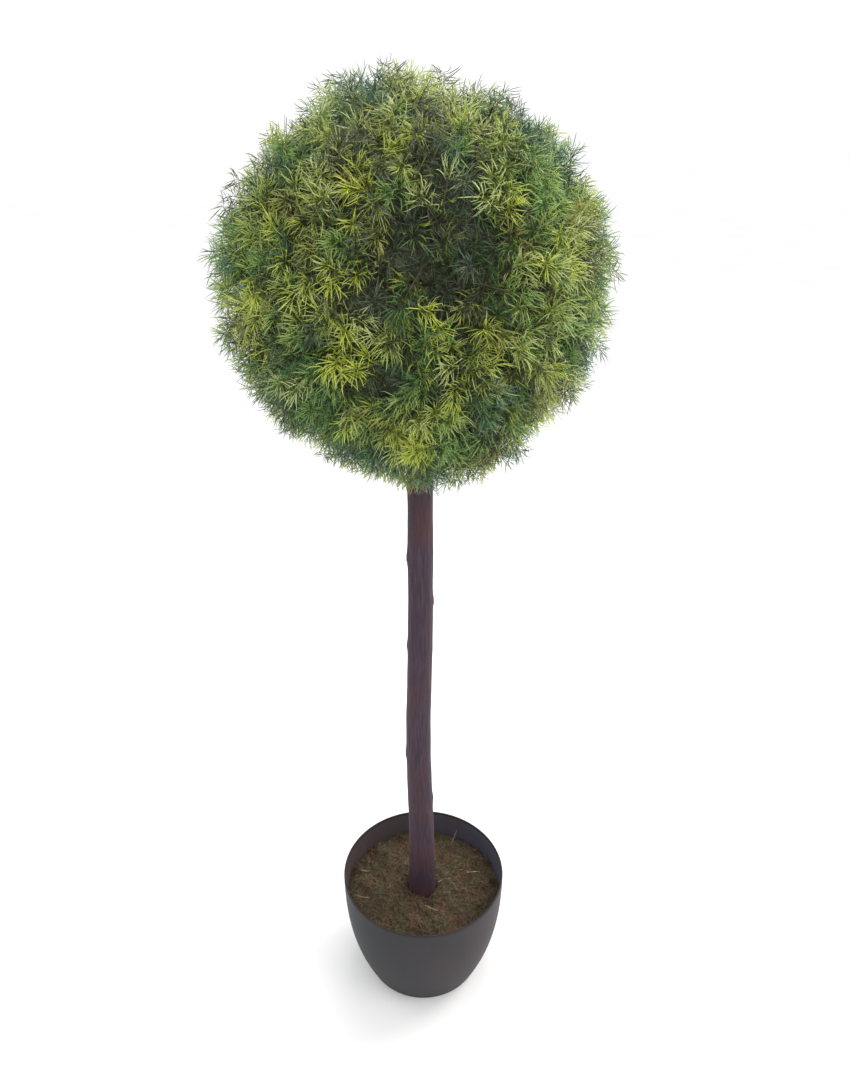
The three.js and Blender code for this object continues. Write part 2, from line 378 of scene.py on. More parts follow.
# %% Stem shape
TRUNK_DEPTH = 35.0  # from the rim down to the moss at the stem
MOSS_LEVEL = POT_HEIGHT - TRUNK_DEPTH
STEM = {
    "foot": trunk_low[2], "tip": trunk_high[2],
    "moss_radius": 18.2, "tip_radius": 13.8, "flare": 1.5, "flare_height": 22.0,
    "foot_shift": -1.5, "tip_shift": -3.8,
    "crook_height": 405.0, "crook_shift": -4.0, "crook_reach": 120.0,
    "oval": 0.025, "oval_twist": 150.0, "scar_height": 1.0, "scar_length": 10.0,
    "scar_width": 0.5,
}
SCARS = np.array([  # height in millimetres, and degrees round the stem from its right-hand side
    (215, 150), (305, 8), (383, 178), (462, 95), (555, 172), (620, 4), (680, 186), (760, 60),
])
STEM_AROUND = 80
STEM_RING_STEP = 3.0  # millimetres from ring to ring
STUB_RADIUS = 4.6  # of a cut shoot
STUB_HEIGHT = 0.6
STUB_EDGE = 1.1  # in radii of the stub, as is the dish
STUB_STEEPNESS = 5.0
STUB_DISH = 0.6
DISH_WIDTH = 0.6
FURROW = 0.4
FURROW_SIZE = (3.2, 3.2, 42.0)
HAIRLINE_SIZE = (1.5, 1.5, 16.0)  # of the finer furrows, which are half as deep
SWELLING = 0.5
SWELLING_SIZE = (16.0, 16.0, 55.0)


def stem_middle(z):
    lean = lerp(STEM["foot_shift"], STEM["tip_shift"], (z - STEM["foot"]) / (STEM["tip"] - STEM["foot"]))
    return lean + STEM["crook_shift"] * np.exp(-(((z - STEM["crook_height"]) / STEM["crook_reach"]) ** 2))


def stem_mean_radius(z):
    above = np.maximum(0, z - MOSS_LEVEL)
    taper = lerp(STEM["moss_radius"], STEM["tip_radius"], above / (STEM["tip"] - MOSS_LEVEL))
    return taper + STEM["flare"] * np.exp(-above / STEM["flare_height"])


def nearest_scar(angle, z):
    """How far round, in radians, and how far up, in millimetres, the nearest scar lies."""
    nearest = np.abs(np.asarray(z)[..., None] - SCARS[:, 0]).argmin(axis=-1)
    apart = angle - np.radians(SCARS[nearest, 1])
    return np.arctan2(np.sin(apart), np.cos(apart)), z - SCARS[nearest, 0]


def stem_radius(angle, z):
    round_by, up_by = nearest_scar(angle, z)
    falloff = (round_by / STEM["scar_width"]) ** 2 + (up_by / STEM["scar_length"]) ** 2
    oval = 1 + STEM["oval"] * np.cos(2 * angle + z / STEM["oval_twist"])
    return stem_mean_radius(z) * oval + STEM["scar_height"] * np.exp(-falloff)


def noise_at(points, scale):
    """Smooth noise from -1 to 1 at points in millimetres, with features of the given sizes."""
    scaled = (points / np.asarray(scale)).reshape(-1, 3)
    values = np.fromiter((noise.noise(Vector(p)) for p in scaled), dtype=float, count=len(scaled))
    return values.reshape(points.shape[:-1])


def stem_relief(angle, z, points):
    furrows = FURROW * noise_at(points, FURROW_SIZE) + 0.5 * FURROW * noise_at(points, HAIRLINE_SIZE)
    swells = SWELLING * noise_at(points, SWELLING_SIZE)
    round_by, up_by = nearest_scar(angle, z)
    off = np.hypot(round_by * stem_mean_radius(z), up_by) / STUB_RADIUS
    stub = STUB_HEIGHT * np.clip(STUB_STEEPNESS * (STUB_EDGE - off), 0, 1)
    dish = STUB_DISH * np.exp(-((off / DISH_WIDTH) ** 2))
    return furrows + swells + stub - dish


def stem_rings():
    steps = int((STEM["tip"] - STEM["foot"]) / STEM_RING_STEP)
    z = np.linspace(STEM["foot"], STEM["tip"], steps + 1)[:, None] * np.ones(STEM_AROUND)
    angle = np.arange(STEM_AROUND) * TURN / STEM_AROUND + 0 * z
    radius = stem_radius(angle, z)
    bare = np.stack([radius * np.cos(angle), radius * np.sin(angle), z], axis=-1)
    radius = radius + stem_relief(angle, z, bare)
    return np.stack([stem_middle(z) + radius * np.cos(angle), radius * np.sin(angle), z], axis=-1)


stem = make_piece("stem_bark", *skin(stem_rings()), [stained_wood()])
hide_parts("trunk")

# %% [markdown]
# ## Thin strands
# Needles, sprig stalks, moss fibres and straws are all thin strands that end in a point. A strand here is
# a row of three-cornered rings along its path, closed by one point at the tip and, where the root shows
# too, one at the root. Three sides are the fewest that close, and on a strand under two millimetres wide
# no eye can tell them from round ones.

# %% Many strands at once
def across(along):
    """Two directions at right angles to each other and to each direction given."""
    upright = np.array([0.0, 0.0, 1.0])
    sideways = np.array([1.0, 0.0, 0.0])
    near_upright = np.abs(along[..., 2:3]) > 0.95
    first = unit(np.cross(along, np.where(near_upright, sideways, upright)))
    return first, np.cross(along, first)


def strands(paths, radii, pointed_root=False):
    """Points, triangles and the triangles of one strand, for paths of shape (strands, points, 3)."""
    count = len(paths)
    first, second = across(unit(paths[:, -1] - paths[:, 0]))
    corners = (np.arange(3) * TURN / 3)[None, :, None]
    spokes = np.cos(corners) * first[:, None] + np.sin(corners) * second[:, None]
    ringed = paths[:, 1:-1] if pointed_root else paths[:, :-1]
    rings = ringed[:, :, None] + radii[:, :, None, None] * spokes[:, None]
    tip = 3 * ringed.shape[1]
    points = [rings.reshape(count, -1, 3), paths[:, -1:]]
    one = [[0, 2, 1]]
    if pointed_root:
        points.append(paths[:, :1])
        one = [[tip + 1, (k + 1) % 3, k] for k in range(3)]
    for start in range(0, tip - 3, 3):
        for k in range(3):
            a, b = start + k, start + (k + 1) % 3
            one += [[a, b, b + 3], [a, b + 3, a + 3]]
    one += [[tip - 3 + k, tip - 3 + (k + 1) % 3, tip] for k in range(3)]
    points = np.concatenate(points, axis=1)
    starts = np.arange(count) * points.shape[1]
    triangles = (np.array(one)[None] + starts[:, None, None]).reshape(-1, 3)
    return points.reshape(-1, 3), triangles, len(one)


# %% [markdown]
# ## Dried moss
# The moss is sheet moss and coconut fibre pressed over the filling. It is patchy: brown where it has dried
# right out, olive where some dye is left and rusty where the fibre shows through. Its holes are painted
# nearly black, as painted shade. The patches are about 26 mm across, and the crumbs and holes about 3 mm.

# %% Moss finish
def dried_moss():
    material, tree = new_material("dried sheet moss")
    place = add_node(tree, "ShaderNodeTexCoord").outputs["Object"]
    patch = add_node(tree, "ShaderNodeTexNoise", {
        "Vector": place, "Scale": 1 / (26 * MM), "Detail": 5.0, "Roughness": 0.65,
    })
    tint = add_node(tree, "ShaderNodeValToRGB", {"Fac": patch.outputs["Fac"]},
                    stops=[(0.32, linear("#4f4435")), (0.46, linear("#5e533c")), (0.56, linear("#634f3d")),
                           (0.70, linear("#735542"))])
    crumb = add_node(tree, "ShaderNodeTexNoise", {
        "Vector": place, "Scale": 1 / (3 * MM), "Detail": 6.0, "Roughness": 0.7,
    })
    # Painted shade: where the crumb noise is low, in the holes, the colour is darkened to near black.
    shade = add_node(tree, "ShaderNodeValToRGB", {"Fac": crumb.outputs["Fac"]},
                     stops=[(0.34, grey(0.30)), (0.62, grey(1.0))])
    colour = add_node(tree, "ShaderNodeMix", {
        "Factor": 1.0, "A": tint.outputs["Color"], "B": shade.outputs["Color"],
    }, data_type="RGBA", blend_type="MULTIPLY")
    rough = add_node(tree, "ShaderNodeMapRange", {
        "Value": crumb.outputs["Fac"], "To Min": 0.98, "To Max": 0.86,
    })
    bump = add_node(tree, "ShaderNodeBump", {
        "Height": crumb.outputs["Fac"], "Strength": 0.9, "Distance": 1.2 * MM,
    })
    shader = add_node(tree, "ShaderNodeBsdfPrincipled", {
        "Base Color": colour.outputs["Result"], "Roughness": rough.outputs["Result"],
        "Normal": bump.outputs["Normal"], "IOR": 1.45,
    })
    add_node(tree, "ShaderNodeOutputMaterial", {"Surface": shader.outputs["BSDF"]})
    return material


# %% [markdown]
# ## The moss bed
# The bed is a mound that is highest round the stem. Its outline follows the construction: up the pot's
# inner wall, over the moss and down the socket that the stem stands in. The top is then broken up by
# noise at three sizes, 15 mm tufts, 6 mm clumps and 3 mm crumbs, which fades out at the wall so that
# nothing pokes through the pot.

# %% Moss bed shape
CLEARANCE = 0.3
EDGE_DEPTH = 41.0  # from the rim down to the moss at the wall
MOSS_LUMP = 2.2
MOSS_AROUND = 260
MOSS_RINGS = 58
WALL_RINGS = 12
SOCKET_RINGS = 6
SOCKET_ROOM = 1.2  # between the stem and the moss round it
SOCKET_TOP = 2.0  # below the moss at the wall
MOSS_RELIEF = (  # height, size and shift of each noise
    (3.4, 15.0, 0.0), (2.4, 6.0, 40.0), (1.3, 2.8, 80.0),
)
RELIEF_FADE = 4.0  # the relief is full a quarter of the way in from the wall


def pot_inner_radius(z):
    return pot_outer_radius(z) - POT_WALL


MOSS_EDGE = POT_HEIGHT - EDGE_DEPTH
MOSS_RADIUS = float(pot_inner_radius(MOSS_EDGE)) - CLEARANCE


def moss_height(x, y):
    share = np.minimum(1, np.hypot(x, y) / MOSS_RADIUS)
    mound = lerp(TRUNK_DEPTH, EDGE_DEPTH, share ** 2)
    waves = np.sin(x / 13 + 0.6) * np.cos(y / 11) + 0.6 * np.sin((x + y) / 7)
    return POT_HEIGHT - mound + MOSS_LUMP * waves * (1 - share ** 4)


def moss_relief(points):
    flat = points * [1.0, 1.0, 0.0]
    return sum(height * noise_at(flat + shift, size) for height, size, shift in MOSS_RELIEF)


def moss_rings():
    angle = np.arange(MOSS_AROUND) * TURN / MOSS_AROUND
    turn = np.stack([np.cos(angle), np.sin(angle)], axis=-1)
    rings = []

    def ring(radius, z, middle=0.0):
        x, y = radius * turn[:, 0] + middle, radius * turn[:, 1]
        rings.append(np.stack([x, y, z + 0 * x], axis=-1))

    bottom = POT_FLOOR + CLEARANCE
    ring(1.0, bottom)
    for z in np.linspace(bottom, MOSS_EDGE, WALL_RINGS):
        ring(float(pot_inner_radius(z)) - CLEARANCE, z)
    socket = stem_radius(angle, MOSS_LEVEL) + SOCKET_ROOM
    for share in np.linspace(0, 1, MOSS_RINGS)[1:]:
        radius = lerp(MOSS_RADIUS, socket, share)
        x = radius * turn[:, 0] + share * stem_middle(MOSS_LEVEL)
        y = radius * turn[:, 1]
        level = np.stack([x, y, moss_height(x, y)], axis=-1)
        level[:, 2] += moss_relief(level) * min(1.0, RELIEF_FADE * share)
        rings.append(level)
    for z in np.linspace(MOSS_EDGE - SOCKET_TOP, STEM["foot"] - CLEARANCE, SOCKET_RINGS):
        ring(stem_radius(angle, np.maximum(z, STEM["foot"])) + SOCKET_ROOM, z, stem_middle(z))
    return np.array(rings)


moss = make_piece("moss_bed", *skin(moss_rings()), [dried_moss()])
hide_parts("moss_filling")

# %% [markdown]
# ## Loose fibres on the moss
# What makes moss read as moss is the fibre that lies loose on it. More than eight thousand short bent
# strands are scattered over the bed. Most lie almost flat and arch a little, and along the wall and round
# the stem's foot they stand up in uneven tufts. Every strand has one of five dull colours, which lie in
# patches with near black and tan strewn among them. A colour that belongs to a strand is a material slot,
# not a pattern, so that it stays where it is when the mesh is exported.

# %% Fibre colours and strands
def plain_finish(name, hex_value, roughness, ior):
    """A finish whose one colour is dealt out strand by strand."""
    material, tree = new_material(name)
    shader = add_node(tree, "ShaderNodeBsdfPrincipled", {
        "Base Color": linear(hex_value), "Roughness": roughness, "IOR": ior,
    })
    add_node(tree, "ShaderNodeOutputMaterial", {"Surface": shader.outputs["BSDF"]})
    return material


FIBRE_COLOURS = {
    "dried moss, olive": "#6a6345",
    "dried moss, brown": "#6c5c46",
    "coconut fibre, rust": "#7c5d45",
    "dried moss, black brown": "#332a24",
    "coconut fibre, tan": "#967d62",
}
FIBRE_COUNT = 6500
FIBRE_LENGTH = (5.0, 17.0)
FIBRE_RADIUS = 0.3
FIBRE_BEND = 0.5
FIBRE_ARCH = 0.4
FIBRE_WAVER = 0.4
FIBRE_LIFT = 1.4  # the most
FIBRE_ROUGHNESS = 0.92
FIBRE_IOR = 1.45
STEM_SHARE = 0.045  # of the bed's area, which lying fibres leave to the stem
EDGE_ROOM = 5.0  # from lying fibres to the wall
TUFT_FIBRES = 1300
TUFT_RISE = 17.0
TUFT_SPACING = 22.0
TUFT_ROOM = (2.0, 10.0)  # from the wall
COLLAR_FIBRES = 700
COLLAR_RISE = 8.0
COLLAR_ROOM = (1.5, 9.0)  # from the stem
WALL_ROOM = 1.2


def on_the_moss(x, y):
    """Points on the broken surface of the moss."""
    level = np.stack([x, y, moss_height(x, y)], axis=-1)
    level[..., 2] += moss_relief(level)
    return level


def lying_paths(rng, count):
    """Paths of four points that lie on the moss, each arching up in its middle."""
    spot = np.sqrt(rng.uniform(STEM_SHARE, 1, count)) * (MOSS_RADIUS - EDGE_ROOM)
    where = rng.uniform(0, TURN, count)
    heading = rng.uniform(0, TURN, count)
    bend = rng.normal(0, FIBRE_BEND, count)
    size = rng.uniform(*FIBRE_LENGTH, count)
    lift = rng.uniform(0.0, FIBRE_LIFT, count)
    middle = on_the_moss(spot * np.cos(where), spot * np.sin(where))
    paths = []
    for step in (-0.5, -0.17, 0.17, 0.5):
        turned = heading + bend * step
        arch = FIBRE_ARCH * size * (0.25 - step ** 2) + lift + rng.normal(0, FIBRE_WAVER, count)
        paths.append(middle + np.stack([size * step * np.cos(turned), size * step * np.sin(turned), arch],
                                       axis=-1))
    return np.stack(paths, axis=1)


def standing_paths(rng, foot, rise, lean, least, curl):
    """Paths of four points that stand on their feet, lean and curl, by spreads in millimetres."""
    count = len(foot)
    sway = np.stack([*rng.normal(0, lean, (2, count)), rise * rng.uniform(least, 1, count)], axis=-1)
    bow = rng.normal(0, curl, (count, 3))
    return np.stack([foot + t * sway + t * (1 - t) * 4 * bow for t in (0, 0.35, 0.7, 1)], axis=1)


def tuft_paths(rng, count):
    """Fibres that stand up in tufts along the pot's wall."""
    where = rng.uniform(0, TURN, count)
    wall = np.stack([np.cos(where), np.sin(where), 0 * where], axis=-1)
    rise = TUFT_RISE * np.clip(0.35 + 1.6 * noise_at(wall * MOSS_RADIUS, TUFT_SPACING), 0.1, 1)
    foot = on_the_moss(*(wall[:, :2] * (MOSS_RADIUS - rng.uniform(*TUFT_ROOM, count))[:, None]).T)
    return standing_paths(rng, foot, rise, lean=4.5, least=0.35, curl=1.6)


def collar_paths(rng, count):
    """Fibres that stand and lean round the foot of the stem."""
    where = rng.uniform(0, TURN, count)
    round_stem = np.stack([np.cos(where), np.sin(where)])
    far = stem_radius(where, MOSS_LEVEL) + rng.uniform(*COLLAR_ROOM, count)
    foot = on_the_moss(stem_middle(MOSS_LEVEL) + far * round_stem[0], far * round_stem[1])
    return standing_paths(rng, foot, COLLAR_RISE, lean=3.5, least=0.1, curl=1.2)


def within_the_wall(paths):
    """The same paths, drawn in where they would touch the pot."""
    far = np.hypot(paths[..., 0], paths[..., 1])
    room = pot_inner_radius(paths[..., 2]) - WALL_ROOM
    paths[..., :2] *= np.minimum(1, room / far)[..., None]
    return paths


def clear_of_stem(paths, margin):
    away = np.hypot(paths[..., 0] - stem_middle(paths[..., 2]), paths[..., 1])
    clear = away > stem_mean_radius(paths[..., 2]) + STEM["scar_height"] + margin
    return (clear | (paths[..., 2] > STEM["tip"])).all(axis=1)


THICKNESS = (0.75, 1.25)  # of single strands, as shares of the usual one


def tapered(rng, count, radius, shares):
    return radius * rng.uniform(*THICKNESS, (count, 1)) * np.array(shares)


GROUND_SIZE = 24.0  # of the patches of colour
GROUND_LIMITS = (-0.02, 0.24)  # of the noise, from olive to brown and from brown to rust
GROUND_MIXING = 0.16
BLACK_SHARE = 0.16
TAN_SHARE = 0.08


def deal_fibre_colours(rng, paths):
    """Olive, brown and rust lie in patches. Near black and tan are strewn over all of them."""
    names = list(FIBRE_COLOURS)
    black, tan = names.index("dried moss, black brown"), names.index("coconut fibre, tan")
    ground = noise_at(paths[:, 1] * [1.0, 1.0, 0.0], GROUND_SIZE) + rng.normal(0, GROUND_MIXING, len(paths))
    colour = np.digitize(ground, GROUND_LIMITS)
    strewn = rng.uniform(size=len(paths))
    return np.where(strewn < BLACK_SHARE, black, np.where(strewn > 1 - TAN_SHARE, tan, colour))


MOSS_SEED = 7
rng = np.random.default_rng(MOSS_SEED)
fibre_paths = np.concatenate([lying_paths(rng, FIBRE_COUNT), tuft_paths(rng, TUFT_FIBRES),
                              collar_paths(rng, COLLAR_FIBRES)])
fibre_paths = within_the_wall(fibre_paths[clear_of_stem(fibre_paths, margin=0.5)])
fibre_radii = tapered(rng, len(fibre_paths), FIBRE_RADIUS, (1.0, 0.8))
points, triangles, faces_each = strands(fibre_paths, fibre_radii, pointed_root=True)
fibre_slots = np.repeat(deal_fibre_colours(rng, fibre_paths), faces_each)
fibre_finishes = [plain_finish(name, value, FIBRE_ROUGHNESS, FIBRE_IOR)
                  for name, value in FIBRE_COLOURS.items()]
fibres = make_piece("moss_fibres", points, triangles, fibre_finishes, fibre_slots)
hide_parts("moss_filling")

# %% [markdown]
# ## The foliage ball: its outline
# The ball is clipped, but not to a perfect sphere. Seeded lumps swell and sink its surface by several
# millimetres. The construction uses the same lumps from the same seed, so the needles grown here fill
# the outline of its solid ball, and only the tips of some stand a few millimetres past it.

# %% Lumps of the ball
CROWN_CENTRE = np.array([-8.0, 0.0, 991.0])
CROWN_RADIUS = 205.0
LUMP_COUNT = 36
LUMP_HEIGHT = 8.5
LUMP_WIDTH = 0.04
CROWN_SEED = 115784


def seeded(seed):
    """The same repeatable numbers from 0 to 1 as the construction uses."""
    state = seed
    while True:
        state = (state * 1664525 + 1013904223) % 4294967296
        yield state / 4294967296


def direction_at(up, azimuth):
    flat = np.sqrt(1 - np.square(up))
    return np.stack([flat * np.cos(azimuth), flat * np.sin(azimuth), up + 0 * flat], axis=-1)


def crown_lumps():
    draw = seeded(CROWN_SEED)
    middles, heights = [], []
    for _ in range(LUMP_COUNT):
        up, azimuth = 2 * next(draw) - 1, TURN * next(draw)
        middles.append(direction_at(up, azimuth))
        heights.append(LUMP_HEIGHT * (2 * next(draw) - 1))
    return np.array(middles), np.array(heights)


LUMP_MIDDLES, LUMP_HEIGHTS = crown_lumps()


def crown_reach(directions):
    """How far the needles reach from the ball's centre, in each direction."""
    near = np.exp((directions @ LUMP_MIDDLES.T - 1) / LUMP_WIDTH)
    return CROWN_RADIUS + near @ LUMP_HEIGHTS


def random_directions(rng, count):
    return direction_at(rng.uniform(-1, 1, count), rng.uniform(0, TURN, count))


# %% [markdown]
# ## Patches of colour
# The maker plugs in sprigs of several shades, and they end up in patches a few centimetres wide. A patch
# is named by where it lies as seen from the front, in degrees to the right and up, and by the shades that
# prevail in it. On the sides and back, patches follow a spiral. Each sprig takes its shade from the
# nearest patch, less surely towards the patch's edge, and noise makes those edges ragged. A few patches
# are hollows, where the sprigs stand lower and take only the hollow's own dark shades, which are partly
# painted shade. The patches along the lower edge hold darker greens as painted shade for the underside.

# %% Shades, mixes and patches
SHADES = {  # name: colour near the root, colour from there to the tip
    "deep green": ("#36601f", "#5a8243"),
    "leaf green": ("#5b8a24", "#8cad5e"),
    "blue green": ("#2d5945", "#537b66"),
    "olive green": ("#7c8024", "#a0a450"),
    "moss green": ("#98a926", "#b5c56c"),
    "lime green": ("#b9c71c", "#cbd760"),
    "pale green": ("#a5b44a", "#c9d690"),
    "rust": ("#8e602a", "#a09652"),
    # The last shade is painted shade: the dark grey green of sprigs that sit deep, and of strays.
    "painted shade green": ("#3d4933", "#566349"),
}
SHADE_NAMES = list(SHADES)
MIXES = {  # share of each shade, in the order above
    "plain": (0.19, 0.23, 0.04, 0.12, 0.23, 0.09, 0.09, 0.01, 0.00),
    "lime": (0.01, 0.06, 0.00, 0.05, 0.25, 0.57, 0.05, 0.01, 0.00),
    "pale": (0.02, 0.08, 0.01, 0.05, 0.30, 0.10, 0.44, 0.00, 0.00),
    "olive": (0.06, 0.12, 0.00, 0.42, 0.26, 0.07, 0.04, 0.03, 0.00),
    "leaf": (0.12, 0.56, 0.04, 0.04, 0.18, 0.02, 0.04, 0.00, 0.00),
    "deep": (0.44, 0.24, 0.08, 0.10, 0.06, 0.00, 0.00, 0.00, 0.08),
    "blue": (0.26, 0.14, 0.48, 0.02, 0.05, 0.00, 0.05, 0.00, 0.00),
    # Painted shade for the underside: darker greens along the lower edge.
    "shaded": (0.34, 0.14, 0.18, 0.06, 0.04, 0.00, 0.00, 0.00, 0.24),
    # The hollows' mix is mostly dark greens, painted shade on top of their real depth.
    "hollow": (0.34, 0.05, 0.08, 0.06, 0.00, 0.00, 0.00, 0.02, 0.45),
}
FRONT_PATCHES = {  # degrees to the right and up of each patch's middle
    "lime": [
        (-18, -4), (-29, 8), (14, 0), (9, -14), (-5, -35), (-52, -2), (39, 48), (-4, 42), (-23, 36),
        (62, 21),
    ],
    "pale": [(9, 38), (2, 76), (28, 64), (54, 13), (49, -23), (-27, 47), (-60, 55), (60, 1)],
    "olive": [(24, -7), (-39, 31), (-14, 50), (-10, 13)],
    "leaf": [(-66, 36), (-50, 12), (-40, -22), (40, 30), (-66, 9)],
    "plain": [(18, -42)],
    "blue": [(-30, 64), (66, 46), (66, -11), (32, -27)],
    "deep": [(22, 44), (-31, 21), (-24, -30), (-34, -3), (-1, -13), (25, 9)],
    # Patches along the lower edge, painted shade for the underside.
    "shaded": [(-59, -19), (-45, -38), (-24, -50), (4, -53), (36, -39)],
    "hollow": [(2, 22), (5, 14), (15, 17)],
}
BACK_KINDS = ("leaf", "lime", "deep", "pale", "olive", "blue", "plain", "hollow")
KIND_STEP = 5  # from one patch of the spiral to the next, in the list above
PATCH_COUNT = 90  # places on the spiral round the whole ball
PATCH_SPACING = 1.6  # least distance of a spiral patch from one in front, in patch widths
PATCH_WIDTH = 14.0  # degrees
HOLLOW_WIDTH = 11.0  # degrees
RAGGED_SIZE = 18.0
RAGGED_PUSH = 0.08


def seen_from_front(right, up):
    right, up = math.radians(right), math.radians(up)
    return np.array([math.sin(right) * math.cos(up), -math.cos(right) * math.cos(up), math.sin(up)])


def colour_patches():
    middles = [seen_from_front(*place) for places in FRONT_PATCHES.values() for place in places]
    kinds = [kind for kind, places in FRONT_PATCHES.items() for _ in places]
    order = np.arange(PATCH_COUNT)
    spread = direction_at(1 - (2 * order + 1) / PATCH_COUNT, order * GOLDEN_ANGLE)
    free = (spread @ np.array(middles).T).max(axis=1) < math.cos(math.radians(PATCH_SPACING * PATCH_WIDTH))
    for number in order[free]:
        middles.append(spread[number])
        kinds.append(BACK_KINDS[(KIND_STEP * number) % len(BACK_KINDS)])
    return np.array(middles), np.array(kinds)


PATCH_MIDDLES, PATCH_KINDS = colour_patches()
print(len(PATCH_KINDS), "patches of colour")


def ragged(directions):
    """The same directions, pushed about a little so that the patches get broken edges."""
    spots = directions * CROWN_RADIUS
    pushes = [noise_at(spots + shift, RAGGED_SIZE) for shift in (0, 500, 1000)]
    return unit(directions + RAGGED_PUSH * np.stack(pushes, axis=-1))


def fading(closeness, width):
    """From 1 in the middle of a patch to 0 outside it, for the cosine of the angle from its middle."""
    angle = np.degrees(np.arccos(np.clip(closeness, -1, 1)))
    return np.exp(-((angle / width) ** 3))


def nearest_patch(directions):
    """The kind of the nearest patch and how strongly it rules there, from 0 to 1."""
    closeness = ragged(directions) @ PATCH_MIDDLES.T
    return PATCH_KINDS[closeness.argmax(axis=1)], fading(closeness.max(axis=1), PATCH_WIDTH)


def how_hollow(directions):
    """How far a place lies in a hollow, from 0 outside to 1 at its middle."""
    closeness = ragged(directions) @ PATCH_MIDDLES[PATCH_KINDS == "hollow"].T
    return fading(closeness.max(axis=1), HOLLOW_WIDTH)


# %% [markdown]
# ## Sprigs
# A sprig is a thin stalk with several bursts of needles along it, the last one at its tip. The rule is the
# construction's: sprigs stand on a scattered golden-angle spiral, which spreads any number of points
# evenly over a sphere. Here there are many times more of them, each leaning its own way and set more or
# less deep. All of them have settled a little under their own weight, so the ball is a shade fuller below.
# Tufts about 30 mm wide rise and sink too, which breaks the outline up, and a few stray sprigs stick out.
# Sprigs that stand low are mostly a dark grey green, which is painted shade for their depth, and the stray
# ones get the same painted shade. A needle that would leave the ball's space or touch the stem is left out.

# %% Where the sprigs stand
SPRIG_COUNT = 2300
SPRIG_SCATTER = 0.035
SPRIG_LEAN = 1.8  # the most, as sideways run for each unit outwards
STALK_LENGTH = 46.0
TIP_ROOM = 13.0  # from the last burst out to the ball's surface
SAG = 2.8  # how far the sprigs have settled under their own weight
SPRIG_DEPTH = 24.0  # how much deeper a sprig may sit
DEPTH_POWER = 1.7  # over 1 leaves more of the sprigs near the surface
HOLLOW_DEPTH = 26.0
TUFT_SIZE = 32.0  # of the tufts that the outline breaks into
TUFT_SWELL = 9.0
RULED_SHARE = 0.95  # of the sprigs in the middle of a patch, which take its shades
# The share below is of sprigs that take the painted shade green.
PAINTED_SHADE_SHARE = 0.65  # of the sprigs that sit deepest
LEAST_ROOM = 5.0
STRAY_SHARE = 0.035
STRAY_LEAN = 0.3  # of the lean of the other sprigs
STRAY_ROOM = 1.5
STRAY_REACH = 8.0  # past the ball's surface, the most for any needle


def sprig_stalks(rng):
    order = np.arange(SPRIG_COUNT)
    spiral = direction_at(1 - (2 * order + 1) / SPRIG_COUNT, order * GOLDEN_ANGLE)
    out = unit(spiral + SPRIG_SCATTER * random_directions(rng, SPRIG_COUNT))
    aside = unit(np.cross(out, random_directions(rng, SPRIG_COUNT)))
    stray = rng.uniform(size=SPRIG_COUNT) < STRAY_SHARE
    lean = SPRIG_LEAN * np.sqrt(rng.uniform(0, 1, SPRIG_COUNT)) * np.where(stray, STRAY_LEAN, 1.0)
    way = unit(out + lean[:, None] * aside)
    depth = TIP_ROOM + SAG * out[:, 2] + SPRIG_DEPTH * rng.uniform(0, 1, SPRIG_COUNT) ** DEPTH_POWER
    hollow = how_hollow(out)
    depth += HOLLOW_DEPTH * hollow - 2 * TUFT_SWELL * (1 - hollow) * noise_at(out * CROWN_RADIUS, TUFT_SIZE)
    depth = np.where(stray, STRAY_ROOM, np.maximum(depth, LEAST_ROOM))
    tip = CROWN_CENTRE + out * (crown_reach(out) - depth)[:, None]
    return out, way, tip, depth, stray


def deal_shades(rng, directions, depth, stray):
    """The number of each sprig's shade, by the patch it stands in and how deep it sits."""
    kinds, strength = nearest_patch(directions)
    ruled = (rng.uniform(size=len(directions)) < RULED_SHARE * strength) | (kinds == "hollow")
    kinds = np.where(ruled, kinds, "plain")
    chance = np.cumsum([MIXES[kind] for kind in kinds], axis=1)
    shade = (rng.uniform(size=len(directions))[:, None] > chance).sum(axis=1).clip(0, len(SHADES) - 1)
    # Deep sprigs, by chance, and all strays take the dark grey green, which is painted shade.
    dusty = rng.uniform(size=len(directions)) < PAINTED_SHADE_SHARE * np.clip((depth - TIP_ROOM) / SPRIG_DEPTH, 0, 1)
    return np.where(dusty | stray, SHADE_NAMES.index("painted shade green"), shade)


SPRIG_SEED = 29
rng = np.random.default_rng(SPRIG_SEED)
sprig_out, sprig_way, sprig_tip, sprig_sunk, sprig_strays = sprig_stalks(rng)
sprig_shade = deal_shades(rng, sprig_out, sprig_sunk, sprig_strays)
sprig_foot = sprig_tip - STALK_LENGTH * sprig_way
keep = clear_of_stem(np.stack([sprig_foot, (sprig_foot + sprig_tip) / 2, sprig_tip], axis=1), margin=2.0)
sprig_way, sprig_tip = sprig_way[keep], sprig_tip[keep]
sprig_foot, sprig_shade = sprig_foot[keep], sprig_shade[keep]
print(len(sprig_tip), "sprigs")

# %% [markdown]
# ## Needles
# Each burst is a ring of needles. A needle leaves the stalk at its own angle, curves forward and droops
# towards its tip, as moulded polyethylene does when it cools. It is 13 to 23 mm long and keeps its width,
# about 0.8 mm, nearly to the tip. The bursts deep inside are hardly seen, so they have fewer needles of
# fewer faces, and the whole ball stays within what a renderer takes.

